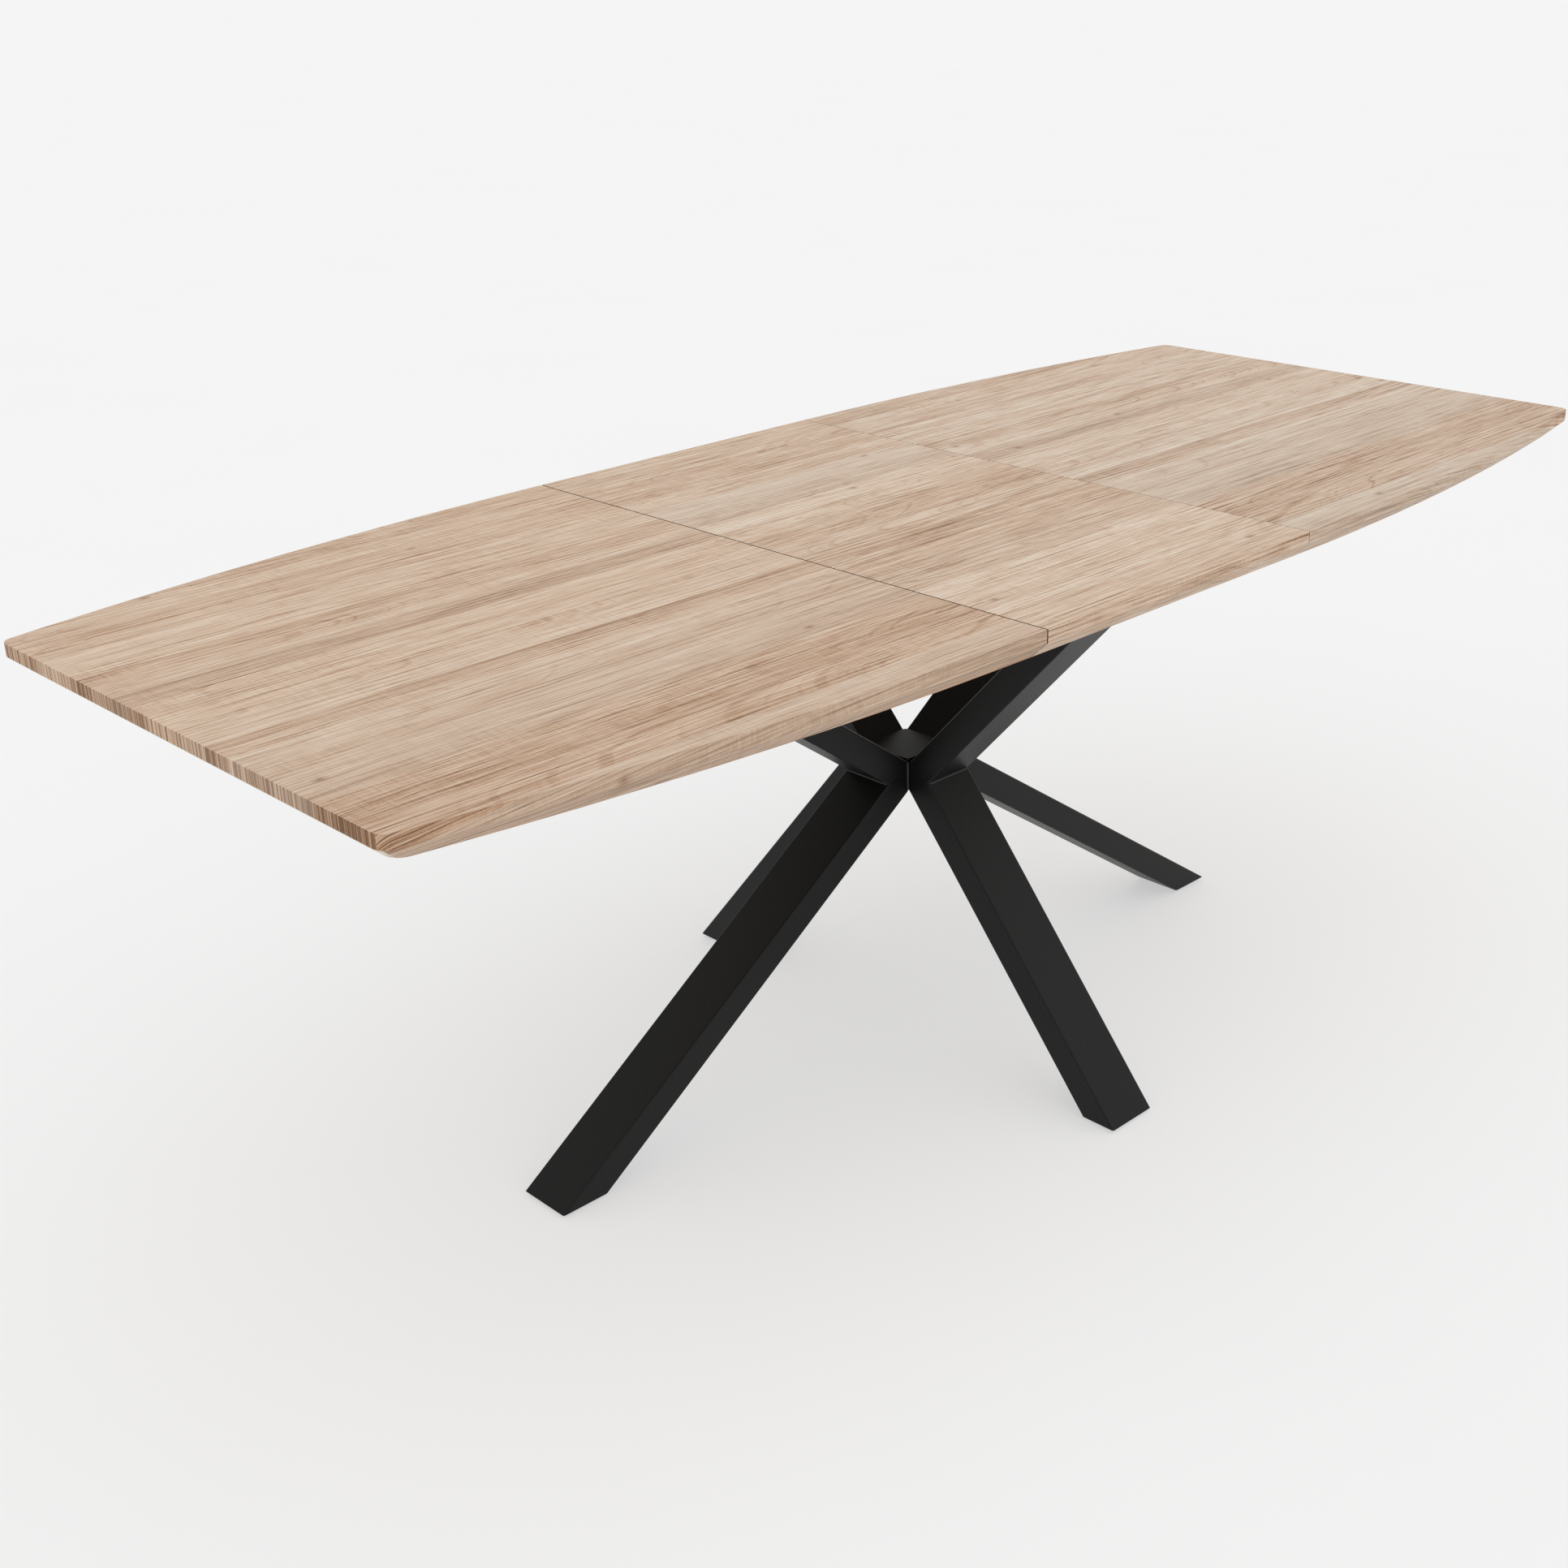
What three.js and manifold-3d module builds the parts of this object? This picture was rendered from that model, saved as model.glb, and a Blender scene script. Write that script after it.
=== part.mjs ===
// Extendable dining table: a barrel-shaped top of two sliding end leaves and one lift-out middle leaf,
// on a crossed base of rectangular steel tube with geared slides between base and top.
// Millimetres, +Z up, +X along the table, origin on the floor under the centre.
import * as THREE from "three";
import { mergeVertices } from "three/addons/utils/BufferGeometryUtils.js";
import Module from "manifold-3d";

const wasm = await Module();
wasm.setup();

// ---- driving dimensions -------------------------------------------------------------------------

const GAP = 0.3; // clearance left between pieces that touch

const TOP = {
  height: 760, // floor to table surface
  length: 2100, // with the middle leaf in place
  leafLength: 500, // middle leaf
  width: 900, // along the middle leaf
  endWidth: 750, // at the two straight ends
  thickness: 38,
  band: 16, // upright part of the edge, above the bevel
  bevelInset: 24, // how far the bevel runs in under the top
  cornerRadius: 16, // plan radius of the corners
  bevelCornerRadius: 20, // the same, at the foot of the bevel
  seam: 1, // opening between two leaves
  leafShift: 0.5, // how far the middle leaf sits towards the right leaf
};

const TUBE = { width: 80, depth: 40, wall: 2, radius: 2.5 }; // legs and arms
const FOOT_HEIGHT = 5; // underside of the cut leg, above the floor
const CROSSING_HEIGHT = 402; // where an arm's outer face meets a leg's outer face

// The two pairs of limbs, along X and along Y. leg, arm: angles above the floor, in degrees.
// reach: the crossing point's distance from the centre. glideInset: glide to outer face, at the foot.
const LIMB_X = { reach: 77, leg: 34.3, arm: 36, glideInset: 35 };
const LIMB_Y = { reach: 77, leg: 50.2, arm: 47.4, glideInset: 16 };

const HUB = { size: TUBE.width, wall: 4, bottom: 384, top: 428, plate: 4, cornerRadius: 8 };

const RAIL = { bottom: 674, height: 25, wall: 2, radius: 3, sideWidth: 50, crossWidth: 60 };
const FLANGE = { thickness: 5, length: 130, boltOffset: 52, holeRadius: 4.3 };
const BOLT = { radius: 4, headRadius: 7.5, headHeight: 5.3, reach: 12 }; // reach: above the rail's underside

const GUIDE = { length: 960, width: 34, height: 18, wall: 2.5, slot: 13 };
const RUNNER = { length: 800, inner: 130, flange: 2.7, stem: 12, play: 0.4 };
const GUIDE_Y = { left: 255, right: 212 }; // slide lines of the left and of the right leaf
const CLOSING_TRAVEL = TOP.leafLength / 2;
const RELEASE_TRAVEL = 25;
const STOP = { x: 400, radius: 3, grooveWidth: 8, grooveDepth: 4 };

const PIN = { radius: 4, length: 44, y: 330, z: 738, buried: 29.5, slotDepth: 15 };

const GEAR = { module: 2, teeth: 20, pressureAngle: 20, addendum: 1.8, dedendum: 2.5, backlash: 0.4 };
const RACK = { inner: 40, outer: 340, back: 32, bottom: 703, height: 10, padLength: 55 };
const HOUSING = { length: 90, plate: 3, wall: 3, height: 15 };
const AXLE = { radius: 4, headRadius: 7, headHeight: 3.2 };

const GLIDE = { radius: 13, stemRadius: 3, stemTop: 15, insertHeight: 5 };
const ROUND = 24; // sides of a round piece

// ---- worked-out levels --------------------------------------------------------------------------

const UNDERSIDE = TOP.height - TOP.thickness;
const RAIL_TOP = RAIL.bottom + RAIL.height;
const GUIDE_BOTTOM = RAIL_TOP + GAP;
const GUIDE_TOP = GUIDE_BOTTOM + GUIDE.height;
const ARM_TOP = RAIL.bottom - GAP - FLANGE.thickness - GAP;
const SEAM_X = (TOP.leafLength + TOP.seam) / 2; // inner edge of an end leaf
const HALF = TUBE.width / 2;
const FAR = 900; // beyond the end of any limb
const LIMB_OVERRUN = 150; // how far an uncut limb runs back past the centre

// ---- materials ----------------------------------------------------------------------------------

function paint(color, roughness, metalness) {
  return new THREE.MeshStandardMaterial({ color, roughness, metalness });
}

const OAK = paint(0xc9b196, 0.55, 0);
const BLACK_STEEL = paint(0x242424, 0.45, 0.3);
const FRAME_STEEL = paint(0x2c2c2c, 0.6, 0.3);
const ALUMINIUM = paint(0xb8babd, 0.35, 0.9);
const ZINC = paint(0xa8a9a6, 0.4, 0.9);
const BLACK_NYLON = paint(0x1a1a1a, 0.7, 0);
const WHITE_NYLON = paint(0xe4e2da, 0.6, 0);

// ---- solid helpers ------------------------------------------------------------------------------

// A closed geometry as a manifold-3d solid.
function solid(geometry) {
  const bare = geometry.clone();
  bare.deleteAttribute("normal");
  bare.deleteAttribute("uv");
  const merged = mergeVertices(bare, 1e-4);
  return new wasm.Manifold(
    new wasm.Mesh({
      numProp: 3,
      vertProperties: new Float32Array(merged.attributes.position.array),
      triVerts: new Uint32Array(merged.index.array),
    }),
  );
}

// A manifold-3d solid back as a geometry with flat faces.
function geometryOf(made) {
  const mesh = made.getMesh();
  const geometry = new THREE.BufferGeometry();
  geometry.setAttribute("position", new THREE.BufferAttribute(new Float32Array(mesh.vertProperties), 3));
  geometry.setIndex(new THREE.BufferAttribute(new Uint32Array(mesh.triVerts), 1));
  const flat = geometry.toNonIndexed();
  flat.computeVertexNormals();
  return flat;
}

function box(low, high) {
  const size = high.map((value, axis) => value - low[axis]);
  const middle = high.map((value, axis) => (value + low[axis]) / 2);
  return new THREE.BoxGeometry(...size).translate(...middle);
}

// An upright round piece from a profile of [radius, z] points that starts and ends on the axis.
function turned(profile, sides = ROUND) {
  const points = profile.map(([radius, z]) => new THREE.Vector2(radius, z));
  return new THREE.LatheGeometry(points, sides).rotateX(Math.PI / 2);
}

function upright(radius, bottom, top, x = 0, y = 0) {
  return turned([[0, bottom], [radius, bottom], [radius, top], [0, top]], 12).translate(x, y, 0);
}

// A flat outline from a list of [x, y] points.
function outline(points) {
  return new THREE.Shape(points.map(([x, y]) => new THREE.Vector2(x, y)));
}

// A rounded rectangle about the origin, as a Shape or as a Path for a hole.
function rounded(width, height, radius, Kind = THREE.Shape) {
  const w = width / 2;
  const h = height / 2;
  const shape = new Kind();
  shape.moveTo(-w + radius, -h);
  shape.lineTo(w - radius, -h);
  shape.absarc(w - radius, -h + radius, radius, -Math.PI / 2, 0, false);
  shape.lineTo(w, h - radius);
  shape.absarc(w - radius, h - radius, radius, 0, Math.PI / 2, false);
  shape.lineTo(-w + radius, h);
  shape.absarc(-w + radius, h - radius, radius, Math.PI / 2, Math.PI, false);
  shape.lineTo(-w, -h + radius);
  shape.absarc(-w + radius, -h + radius, radius, Math.PI, Math.PI * 1.5, false);
  return shape;
}

function hollow(width, height, radius, wall) {
  const shape = rounded(width, height, radius);
  const inner = Math.max(radius - wall, 0.5);
  shape.holes.push(rounded(width - 2 * wall, height - 2 * wall, inner, THREE.Path));
  return shape;
}

function extruded(shape, depth, curveSegments = 5) {
  return new THREE.ExtrudeGeometry(shape, { depth, bevelEnabled: false, curveSegments });
}

// A bar along X: the shape's x becomes Y and its y becomes Z.
function barAlongX(shape, from, to, y = 0, z = 0) {
  const turn = new THREE.Matrix4().makeBasis(
    new THREE.Vector3(0, 1, 0),
    new THREE.Vector3(0, 0, 1),
    new THREE.Vector3(1, 0, 0),
  );
  return extruded(shape, to - from, 2).applyMatrix4(turn).translate(from, y, z);
}

// A bar along Y: the shape's x becomes X and its y becomes Z.
function barAlongY(shape, from, to, x = 0, z = 0) {
  return extruded(shape, to - from, 2).rotateX(Math.PI / 2).translate(x, to, z);
}

const table = new THREE.Group();

function piece(name, geometry, material, parent = table) {
  const mesh = new THREE.Mesh(geometry, material);
  mesh.name = name;
  parent.add(mesh);
  return mesh;
}

// ---- the top ------------------------------------------------------------------------------------

// Half-width of the top at a distance from its centre: straight along the middle leaf, then a
// parabola that narrows to the end width.
function halfWidth(x) {
  const past = Math.max(0, Math.abs(x) - TOP.leafLength / 2);
  const run = (TOP.length - TOP.leafLength) / 2;
  return TOP.width / 2 - ((TOP.width - TOP.endWidth) / 2) * (past / run) ** 2;
}

const CURVE_STEPS = 26;
const CORNER_STEPS = 7;

// The right end leaf's outline set in by a distance all round except at the seam, with rounded corners.
function leafRing(inset, radius) {
  const endX = TOP.length / 2 - inset;
  const run = (TOP.length - TOP.leafLength) / 2;
  const slopeAt = (x) => (-(TOP.width - TOP.endWidth) * (x - TOP.leafLength / 2)) / run ** 2;
  const edgeY = (x) => halfWidth(x) - inset * Math.hypot(1, slopeAt(x));
  const tilt = Math.atan(-slopeAt(endX));
  const tangent = radius * Math.tan((Math.PI / 2 - tilt) / 2);
  const arcX = endX - tangent * Math.cos(tilt);
  const back = [];
  for (let i = 0; i <= CURVE_STEPS; i++) {
    const x = SEAM_X + ((arcX - SEAM_X) * i) / CURVE_STEPS;
    back.push([x, edgeY(x)]);
  }
  const centre = [arcX - radius * Math.sin(tilt), edgeY(arcX) - radius * Math.cos(tilt)];
  for (let i = 1; i <= CORNER_STEPS; i++) {
    const angle = Math.PI / 2 - tilt - ((Math.PI / 2 - tilt) * i) / CORNER_STEPS;
    back.push([centre[0] + radius * Math.cos(angle), centre[1] + radius * Math.sin(angle)]);
  }
  const front = back.map(([x, y]) => [x, -y]);
  return [...front, ...back.reverse()];
}

// A closed skin through rings of equal count, from the lowest to the highest, capped at both ends.
function lofted(rings) {
  const count = rings[0].points.length;
  const positions = rings.flatMap(({ points, z }) => points.flatMap(([x, y]) => [x, y, z]));
  const index = [];
  for (let level = 0; level + 1 < rings.length; level++) {
    for (let i = 0; i < count; i++) {
      const a = level * count + i;
      const b = level * count + ((i + 1) % count);
      index.push(a, b, b + count, a, b + count, a + count);
    }
  }
  const cap = (ring, base, flip) => {
    const contour = ring.points.map(([x, y]) => new THREE.Vector2(x, y));
    for (const [a, b, c] of THREE.ShapeUtils.triangulateShape(contour, [])) {
      index.push(base + a, base + (flip ? c : b), base + (flip ? b : c));
    }
  };
  cap(rings[0], 0, true);
  cap(rings.at(-1), (rings.length - 1) * count, false);
  const geometry = new THREE.BufferGeometry();
  geometry.setAttribute("position", new THREE.Float32BufferAttribute(positions, 3));
  geometry.setIndex(index);
  return geometry;
}

// A round hole along X, at one dowel line.
function pinHole(from, to, y) {
  return turned([[0, 0], [PIN.radius + GAP, 0], [PIN.radius + GAP, to - from], [0, to - from]], 16)
    .rotateY(Math.PI / 2)
    .translate(from, y, PIN.z);
}

function endLeaf() {
  const upper = leafRing(0, TOP.cornerRadius);
  const lower = leafRing(TOP.bevelInset, TOP.bevelCornerRadius);
  let made = solid(
    lofted([
      { points: lower, z: UNDERSIDE },
      { points: upper, z: TOP.height - TOP.band },
      { points: upper, z: TOP.height },
    ]),
  );
  for (const y of [-PIN.y, PIN.y]) {
    made = made.subtract(solid(pinHole(SEAM_X - 1, SEAM_X + PIN.buried + GAP, y)));
  }
  return geometryOf(made);
}

// The middle leaf drops over the pins: its slots are open downwards and towards the seam.
function middleLeaf() {
  const reach = (TOP.leafLength - TOP.seam) / 2;
  const w = TOP.width / 2;
  const section = outline([
    [-w + TOP.bevelInset, UNDERSIDE],
    [w - TOP.bevelInset, UNDERSIDE],
    [w, TOP.height - TOP.band],
    [w, TOP.height],
    [-w, TOP.height],
    [-w, TOP.height - TOP.band],
  ]);
  let made = solid(barAlongX(section, -reach, reach));
  const slotHalf = PIN.radius + GAP;
  for (const side of [-1, 1]) {
    for (const y of [-PIN.y, PIN.y]) {
      const inner = side * (reach - PIN.slotDepth);
      const outer = side * (reach + 1);
      const low = Math.min(inner, outer);
      const high = Math.max(inner, outer);
      const slot = box([low, y - slotHalf, UNDERSIDE - 1], [high, y + slotHalf, PIN.z]);
      made = made.subtract(solid(slot)).subtract(solid(pinHole(low, high, y)));
    }
  }
  return geometryOf(made.translate([TOP.leafShift, 0, 0]));
}

function alignmentPin() {
  const r = PIN.radius;
  const profile = [[0, 0], [r - 1, 0], [r, 1], [r, PIN.length - 2], [r - 1.5, PIN.length], [0, PIN.length]];
  return turned(profile, 16).rotateY(-Math.PI / 2).translate(SEAM_X + PIN.buried, 0, PIN.z);
}

// ---- slides -------------------------------------------------------------------------------------

function guideSection() {
  const w = GUIDE.width / 2;
  const slot = GUIDE.slot / 2;
  const { wall, height } = GUIDE;
  return outline([
    [-w, 0],
    [w, 0],
    [w, height],
    [slot, height],
    [slot, height - wall],
    [w - wall, height - wall],
    [w - wall, wall],
    [-w + wall, wall],
    [-w + wall, height - wall],
    [-slot, height - wall],
    [-slot, height],
    [-w, height],
  ]);
}

// The channel that is fixed to the frame. stopX places the hole of its stop screw.
function guide(y, stopX) {
  const channel = solid(barAlongX(guideSection(), -GUIDE.length / 2, GUIDE.length / 2, y, GUIDE_BOTTOM));
  const hole = upright(STOP.radius - 0.5, GUIDE_BOTTOM - 1, GUIDE_BOTTOM + GUIDE.wall + 1, stopX, y);
  return geometryOf(channel.subtract(solid(hole)));
}

// The bar that is screwed to a leaf and runs in the channel, with a groove for the stop screw.
function runner(y) {
  const bodyHalf = GUIDE.width / 2 - GUIDE.wall - RUNNER.play;
  const bodyBottom = GUIDE_BOTTOM + GUIDE.wall + RUNNER.play;
  const bodyTop = GUIDE_TOP - GUIDE.wall - RUNNER.play;
  const flangeTop = UNDERSIDE - GAP;
  const flangeBottom = flangeTop - RUNNER.flange;
  const stem = RUNNER.stem / 2;
  const w = GUIDE.width / 2;
  const section = outline([
    [-bodyHalf, bodyBottom],
    [bodyHalf, bodyBottom],
    [bodyHalf, bodyTop],
    [stem, bodyTop],
    [stem, flangeBottom],
    [w, flangeBottom],
    [w, flangeTop],
    [-w, flangeTop],
    [-w, flangeBottom],
    [-stem, flangeBottom],
    [-stem, bodyTop],
    [-bodyHalf, bodyTop],
  ]);
  const bar = solid(barAlongX(section, RUNNER.inner, RUNNER.inner + RUNNER.length, y));
  const grooveInner = STOP.x - RELEASE_TRAVEL - STOP.radius - 0.5;
  const grooveOuter = STOP.x + CLOSING_TRAVEL + STOP.radius + 0.5;
  const half = STOP.grooveWidth / 2;
  const groove = box(
    [grooveInner, y - half, bodyBottom - 1],
    [grooveOuter, y + half, bodyBottom + STOP.grooveDepth],
  );
  return geometryOf(bar.subtract(solid(groove)));
}

function stopScrew() {
  const floor = GUIDE_BOTTOM + GUIDE.wall;
  const shank = STOP.radius - 0.8;
  const head = floor + RUNNER.play + STOP.grooveDepth - 1;
  const profile = [
    [0, GUIDE_BOTTOM],
    [shank, GUIDE_BOTTOM],
    [shank, floor + GAP],
    [STOP.radius, floor + GAP],
    [STOP.radius, head - 0.6],
    [STOP.radius - 0.6, head],
    [0, head],
  ];
  return turned(profile, 16);
}

// ---- synchronising gear -------------------------------------------------------------------------

const PITCH_RADIUS = (GEAR.module * GEAR.teeth) / 2;
const TOOTH_PITCH = Math.PI * GEAR.module;
const PRESSURE = THREE.MathUtils.degToRad(GEAR.pressureAngle);
const involute = (angle) => Math.tan(angle) - angle;

// Half the angle that a tooth spans at a radius.
function toothHalfAngle(radius) {
  const baseRadius = PITCH_RADIUS * Math.cos(PRESSURE);
  const atPitch = (TOOTH_PITCH / 2 - GEAR.backlash) / 2 / PITCH_RADIUS;
  const rolled = radius > baseRadius ? Math.acos(baseRadius / radius) : 0;
  return atPitch + involute(PRESSURE) - involute(rolled);
}

function pinion() {
  const root = PITCH_RADIUS - GEAR.dedendum;
  const tip = PITCH_RADIUS + GEAR.addendum;
  const baseRadius = PITCH_RADIUS * Math.cos(PRESSURE);
  const flank = [root, baseRadius, PITCH_RADIUS, tip];
  const points = [];
  for (let tooth = 0; tooth < GEAR.teeth; tooth++) {
    const centre = (tooth * 2 * Math.PI) / GEAR.teeth;
    const rising = flank.map((radius) => [radius, centre - toothHalfAngle(radius)]);
    const falling = flank.map((radius) => [radius, centre + toothHalfAngle(radius)]).reverse();
    for (const [radius, angle] of [...rising, ...falling]) {
      points.push([radius * Math.cos(angle), radius * Math.sin(angle)]);
    }
  }
  const shape = outline(points);
  const bore = new THREE.Path();
  bore.absarc(0, 0, AXLE.radius + GAP, 0, Math.PI * 2, true);
  shape.holes.push(bore);
  return extruded(shape, RACK.height, ROUND / 2).translate(0, 0, RACK.bottom);
}

// The rack of the right leaf, on the front side of the pinion. Its teeth point to the back.
function rack() {
  const root = -PITCH_RADIUS - GEAR.dedendum;
  const tip = -PITCH_RADIUS + GEAR.addendum;
  const half = (TOOTH_PITCH / 2 - GEAR.backlash) / 2;
  const atTip = half - GEAR.addendum * Math.tan(PRESSURE);
  const atRoot = half + GEAR.dedendum * Math.tan(PRESSURE);
  const points = [
    [-RACK.inner, root],
    [-RACK.inner, -RACK.back],
    [RACK.outer, -RACK.back],
    [RACK.outer, root],
  ];
  const last = Math.floor((CLOSING_TRAVEL + 12) / TOOTH_PITCH);
  for (let tooth = last; tooth >= -6; tooth--) {
    const centre = (tooth + 0.5) * TOOTH_PITCH;
    points.push([centre + atRoot, root], [centre + atTip, tip]);
    points.push([centre - atTip, tip], [centre - atRoot, root]);
  }
  const bar = solid(extruded(outline(points), RACK.height).translate(0, 0, RACK.bottom));
  const pad = box(
    [RACK.outer - RACK.padLength, -RACK.back, RACK.bottom + 2],
    [RACK.outer, root, UNDERSIDE - GAP],
  );
  return geometryOf(bar.add(solid(pad)));
}

// The tray that holds the pinion and keeps both racks against it.
function housing() {
  const inside = RACK.back + 0.5;
  const outside = inside + HOUSING.wall;
  const x = HOUSING.length / 2;
  const bottom = GUIDE_BOTTOM;
  let made = solid(box([-x, -outside, bottom], [x, outside, bottom + HOUSING.plate]));
  for (const side of [-1, 1]) {
    const low = side > 0 ? inside : -outside;
    made = made.add(solid(box([-x, low, bottom], [x, low + HOUSING.wall, bottom + HOUSING.height])));
  }
  return geometryOf(made.subtract(solid(upright(AXLE.radius + GAP, bottom - 1, bottom + HOUSING.plate + 1))));
}

function axle() {
  const headBottom = RACK.bottom + RACK.height + GAP;
  const top = headBottom + AXLE.headHeight;
  return turned([
    [0, GUIDE_BOTTOM],
    [AXLE.radius, GUIDE_BOTTOM],
    [AXLE.radius, headBottom],
    [AXLE.headRadius, headBottom],
    [AXLE.headRadius, top - 1],
    [AXLE.headRadius - 1, top],
    [0, top],
  ]);
}

// ---- the base -----------------------------------------------------------------------------------

// A slanting tube in the XZ plane, out towards +X, whose outer face passes through the crossing
// point. lift is +1 for an arm, which rises outwards, and -1 for a leg, which falls.
function slanting(section, limb, lift) {
  const angle = THREE.MathUtils.degToRad(lift > 0 ? limb.arm : limb.leg);
  const along = new THREE.Vector3(Math.cos(angle), 0, lift * Math.sin(angle));
  const outward = new THREE.Vector3(Math.sin(angle), 0, -lift * Math.cos(angle));
  const across = new THREE.Vector3(0, -lift, 0);
  const start = new THREE.Vector3(limb.reach, 0, CROSSING_HEIGHT)
    .addScaledVector(outward, -TUBE.depth / 2)
    .addScaledVector(along, -LIMB_OVERRUN);
  const place = new THREE.Matrix4().makeBasis(across, outward, along).setPosition(start);
  return solid(extruded(section, FAR + LIMB_OVERRUN).applyMatrix4(place));
}

const tubeSection = hollow(TUBE.width, TUBE.depth, TUBE.radius, TUBE.wall);

function clipped(made, low, high) {
  return geometryOf(made.intersect(solid(box(low, high))));
}

function leg(limb) {
  const top = CROSSING_HEIGHT - GAP / 2;
  return clipped(slanting(tubeSection, limb, -1), [HALF + GAP, -HALF - 1, FOOT_HEIGHT], [FAR, HALF + 1, top]);
}

function arm(limb) {
  const bottom = CROSSING_HEIGHT + GAP / 2;
  return clipped(slanting(tubeSection, limb, 1), [HALF + GAP, -HALF - 1, bottom], [FAR, HALF + 1, ARM_TOP]);
}

// Distance from the centre to a limb's outer face, at a height.
function outerReach(limb, z) {
  const angle = THREE.MathUtils.degToRad(z > CROSSING_HEIGHT ? limb.arm : limb.leg);
  return limb.reach + Math.abs(z - CROSSING_HEIGHT) / Math.tan(angle);
}

const glideReach = (limb) => outerReach(limb, FOOT_HEIGHT) - limb.glideInset;

// The threaded plug that closes the end of a leg and takes its glide.
function footInsert(limb) {
  const margin = 2 * (TUBE.wall + GAP);
  const section = rounded(TUBE.width - margin, TUBE.depth - margin, TUBE.radius - TUBE.wall);
  const slug = slanting(section, limb, -1);
  const hole = upright(GLIDE.stemRadius + GAP, 0, 30, glideReach(limb));
  const top = FOOT_HEIGHT + GLIDE.insertHeight;
  return clipped(slug.subtract(solid(hole)), [HALF, -HALF, FOOT_HEIGHT], [FAR, HALF, top]);
}

function glide() {
  const padTop = FOOT_HEIGHT - GAP;
  return turned([
    [0, 0],
    [GLIDE.radius - 2.4, 0],
    [GLIDE.radius - 0.7, 0.8],
    [GLIDE.radius, 2.6],
    [GLIDE.radius - 0.6, padTop],
    [GLIDE.stemRadius, padTop],
    [GLIDE.stemRadius, GLIDE.stemTop - 0.8],
    [GLIDE.stemRadius - 0.8, GLIDE.stemTop],
    [0, GLIDE.stemTop],
  ]);
}

// The middle of an arm's cut end, which is also the centre line of its rail.
function armEnd(limb) {
  const angle = THREE.MathUtils.degToRad(limb.arm);
  const cut = TUBE.depth / Math.sin(angle);
  return { centre: outerReach(limb, ARM_TOP) - cut / 2, cut };
}

const bottomOfFlange = ARM_TOP + GAP;

function flange(limb) {
  const { centre, cut } = armEnd(limb);
  const half = FLANGE.length / 2;
  const topOfFlange = bottomOfFlange + FLANGE.thickness;
  let made = solid(box([centre - cut / 2, -half, bottomOfFlange], [centre + cut / 2, half, topOfFlange]));
  for (const y of [-FLANGE.boltOffset, FLANGE.boltOffset]) {
    const hole = upright(FLANGE.holeRadius, bottomOfFlange - 1, RAIL.bottom + 1, centre, y);
    made = made.subtract(solid(hole));
  }
  return geometryOf(made);
}

// A hexagon-headed bolt: its head under the flange, its shank up inside the rail.
function flangeBolt() {
  const headTop = bottomOfFlange - GAP;
  const { radius, headRadius, headHeight, reach } = BOLT;
  const head = solid(new THREE.CylinderGeometry(headRadius, headRadius, headHeight, 6).rotateX(Math.PI / 2));
  const shank = upright(radius, headTop - 1, RAIL.bottom + reach);
  return geometryOf(head.translate([0, 0, headTop - headHeight / 2]).add(solid(shank)));
}

// A frame rail's bolt holes go through its lower wall only.
function boltedRail(made, holes) {
  let drilled = made;
  for (const [x, y] of holes) {
    const hole = upright(FLANGE.holeRadius, RAIL.bottom - 1, RAIL.bottom + RAIL.wall + 1, x, y);
    drilled = drilled.subtract(solid(hole));
  }
  return geometryOf(drilled);
}

const railZ = RAIL.bottom + RAIL.height / 2;
const sideSection = hollow(RAIL.sideWidth, RAIL.height, RAIL.radius, RAIL.wall);
const crossSection = hollow(RAIL.crossWidth, RAIL.height, RAIL.radius, RAIL.wall);
const SIDE_Y = armEnd(LIMB_Y).centre;
const CROSS_X = armEnd(LIMB_X).centre;
const crossReach = SIDE_Y - RAIL.sideWidth / 2 - GAP;

function sideRail(y) {
  const end = CROSS_X + RAIL.crossWidth / 2;
  const bar = solid(barAlongX(sideSection, -end, end, y, railZ));
  return boltedRail(bar, [[-FLANGE.boltOffset, y], [FLANGE.boltOffset, y]]);
}

function crossRail(x) {
  const bar = solid(barAlongY(crossSection, -crossReach, crossReach, x, railZ));
  const holes = x === 0 ? [] : [[x, -FLANGE.boltOffset], [x, FLANGE.boltOffset]];
  return boltedRail(bar, holes);
}

function hubPlate(bottom) {
  return extruded(rounded(HUB.size, HUB.size, HUB.cornerRadius), HUB.plate).translate(0, 0, bottom);
}

// ---- assembly -----------------------------------------------------------------------------------

piece("middle_leaf", middleLeaf(), OAK);

// Each half of the top is drawn for the right and turned half round for the left.
const leafShape = endLeaf();
const rackShape = rack();
for (const [side, turn] of [["right", 0], ["left", Math.PI]]) {
  const half = new THREE.Group();
  half.rotation.z = turn;
  table.add(half);
  const lineY = GUIDE_Y[side];
  piece(`${side}_leaf`, leafShape, OAK, half);
  piece(`${side}_rack`, rackShape, WHITE_NYLON, half);
  const rows = [["front", -1], ["back", 1]];
  for (const [row, sign] of rows) {
    const y = turn ? -sign : sign; // turning half round swaps front and back
    piece(`${side}_runner_${row}`, runner(y * lineY), ALUMINIUM, half);
    piece(`${side}_pin_${row}`, alignmentPin(), ZINC, half).position.y = y * PIN.y;
    piece(`${side}_guide_${row}`, guide(y * lineY, STOP.x), ALUMINIUM, half);
    piece(`${side}_stop_screw_${row}`, stopScrew(), ZINC, half).position.set(STOP.x, y * lineY, 0);
  }
}

piece("sync_pinion", pinion(), WHITE_NYLON);
piece("pinion_axle", axle(), ZINC);
piece("pinion_housing", housing(), ZINC);

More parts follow.
